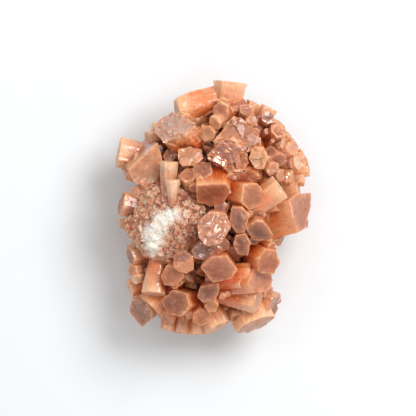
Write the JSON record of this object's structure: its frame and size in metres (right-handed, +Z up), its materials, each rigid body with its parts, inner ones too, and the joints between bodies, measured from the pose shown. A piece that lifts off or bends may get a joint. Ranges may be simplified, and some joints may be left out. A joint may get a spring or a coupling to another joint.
{
  "type": "aragonite star cluster",
  "caption": "Palm-sized orange-brown star cluster of blunt six-sided mineral crystals grown outwards from one heart, for display on a flat surface.",
  "frame": {"origin": "on the table, under the middle of the specimen's outline seen from above", "axes": "+Z up, towards whoever looks down on the specimen, +Y its long way, +X to the right"},
  "size_m": [0.042, 0.0544, 0.0313],
  "materials": {
    "aragonite": "translucent orange-brown mineral, satin ends with glassy glints, striated sides, dull white and brown crust on one side"
  },
  "bodies": {
    "root": {"aragonite_cluster": "aragonite"}
  },
  "joints": []
}
